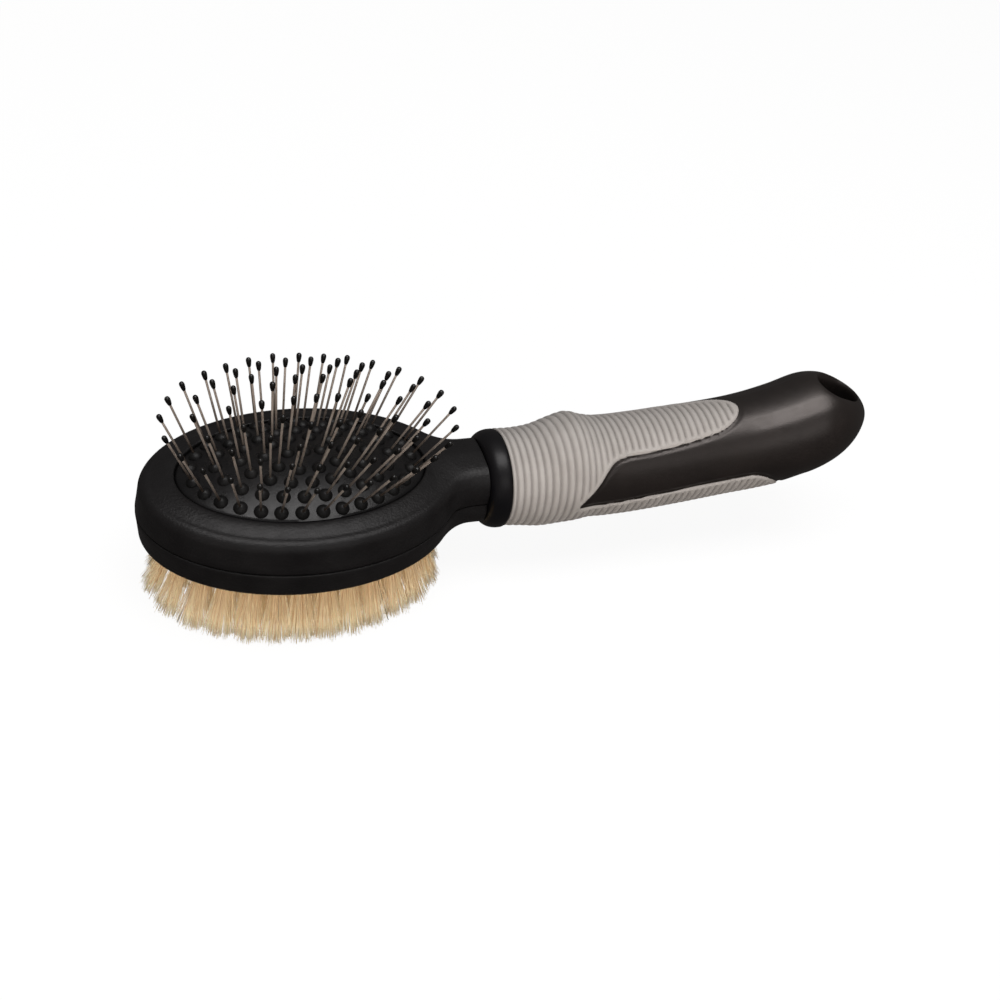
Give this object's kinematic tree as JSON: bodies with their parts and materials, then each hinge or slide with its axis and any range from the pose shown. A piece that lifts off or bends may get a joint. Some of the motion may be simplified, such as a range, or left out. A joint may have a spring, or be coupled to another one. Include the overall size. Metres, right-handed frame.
{
  "type": "double-sided grooming brush",
  "caption": "Hand brush with ball-tipped pins on a domed air cushion above, trimmed bristle tufts below, an oval head and a rubber-gripped handle with a hang hole.",
  "frame": {"origin": "middle of the trimmed bristle tips, under the middle of the oval head", "axes": "+X from the head to the handle's end, +Z from the bristles to the pins"},
  "size_m": [0.224, 0.0606, 0.065],
  "materials": {
    "head_plastic": "fine sand-blasted matte black",
    "inner_plastic": "plain matte black",
    "fixing_steel": "zinc plated",
    "cushion_rubber": "satin dark grey rubber",
    "pin_steel": "drawn wire with black dipped ball tips",
    "bristle": "straw-coloured bristle with a few dark fibres",
    "collar_plastic": "polished black",
    "handle_plastic": "satin black",
    "grip_rubber": "warm grey soft rubber with cross ribs"
  },
  "bodies": {
    "brush_body": {"upper_shell": "head_plastic", "lower_shell": "head_plastic", "base_plate": "inner_plastic", "plate_screw_1": "fixing_steel", "plate_screw_2": "fixing_steel", "plate_screw_3": "fixing_steel", "plate_screw_4": "fixing_steel", "pin_cushion": "cushion_rubber", "bristle_block": "inner_plastic", "tuft_ring_1": "bristle", "tuft_ring_2": "bristle", "tuft_ring_3": "bristle", "tuft_ring_4": "bristle", "tuft_ring_5": "bristle", "collar": "collar_plastic", "handle_core": "handle_plastic", "grip_sleeve": "grip_rubber", "tang_pin": "fixing_steel"},
    "pins_1": {"pin_ring_1": "pin_steel"},
    "pins_2": {"pin_ring_2": "pin_steel"},
    "pins_3": {"pin_ring_3": "pin_steel"},
    "pins_4": {"pin_ring_4": "pin_steel"},
    "pins_5": {"pin_ring_5": "pin_steel"}
  },
  "joints": [
    {"name": "pins_5_press", "type": "slide", "parent": "brush_body", "child": "pins_5", "axis": [0, 0, -1], "range_m": [0, 0.004], "stiffness_N_per_m": 2000, "deforming": ["pin_cushion"]},
    {"name": "pins_1_press", "type": "slide", "parent": "brush_body", "child": "pins_1", "axis": [0, 0, -1], "range_m": [0, 0.000912]},
    {"name": "pins_2_press", "type": "slide", "parent": "brush_body", "child": "pins_2", "axis": [0, 0, -1], "range_m": [0, 0.00211]},
    {"name": "pins_3_press", "type": "slide", "parent": "brush_body", "child": "pins_3", "axis": [0, 0, -1], "range_m": [0, 0.00301]},
    {"name": "pins_4_press", "type": "slide", "parent": "brush_body", "child": "pins_4", "axis": [0, 0, -1], "range_m": [0, 0.00363]}
  ],
  "couplings": [
    {"joint": "pins_1_press", "follows": "pins_5_press", "ratio": 0.2256},
    {"joint": "pins_2_press", "follows": "pins_5_press", "ratio": 0.5239},
    {"joint": "pins_3_press", "follows": "pins_5_press", "ratio": 0.75},
    {"joint": "pins_4_press", "follows": "pins_5_press", "ratio": 0.9039}
  ]
}
